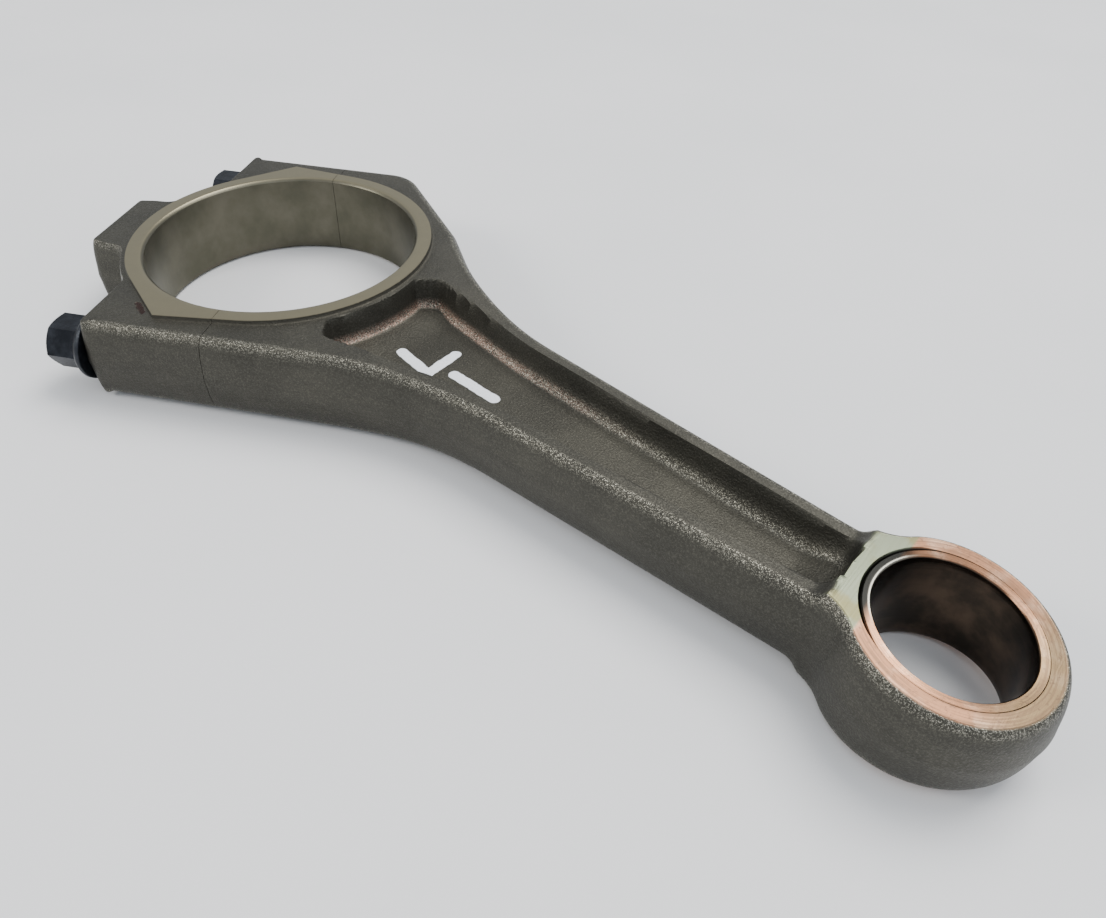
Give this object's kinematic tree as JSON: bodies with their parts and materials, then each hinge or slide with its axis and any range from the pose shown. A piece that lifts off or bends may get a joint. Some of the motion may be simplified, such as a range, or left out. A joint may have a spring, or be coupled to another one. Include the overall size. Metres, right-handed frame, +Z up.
{
  "type": "connecting rod",
  "caption": "Forged I-beam connecting rod with an obliquely split, bolted big end and a bushed wedge-shaped small end.",
  "frame": {"origin": "centre of the rod's box in plan, on the plane of its lower machined faces; the rod lies on its side", "axes": "+X along the rod from the big end to the small end, +Z up out of the upper machined faces, parallel to both bores"},
  "size_m": [0.2292, 0.0978, 0.02],
  "materials": {
    "forged_steel": "shot-blasted forging, machined on the rings, flats and bores",
    "black_oxide": "black oxide, satin",
    "bush_bronze": "fine-bored bronze-lined bush, polished"
  },
  "bodies": {
    "rod": {"rod_body": "forged_steel", "small_end_bush": "bush_bronze"},
    "cap": {"bearing_cap": "forged_steel"},
    "far_bolt": {"cap_bolt_far": "black_oxide"},
    "near_bolt": {"cap_bolt_near": "black_oxide"}
  },
  "joints": [
    {"name": "cap_lift_off", "type": "slide", "parent": "rod", "child": "cap", "axis": [-0.866, -0.5, 0], "range_m": [0, 0.03]},
    {"name": "far_bolt_out", "type": "slide", "parent": "cap", "child": "far_bolt", "axis": [-0.866, -0.5, 0], "range_m": [0, 0.042]},
    {"name": "near_bolt_out", "type": "slide", "parent": "cap", "child": "near_bolt", "axis": [-0.866, -0.5, 0], "range_m": [0, 0.042]}
  ]
}
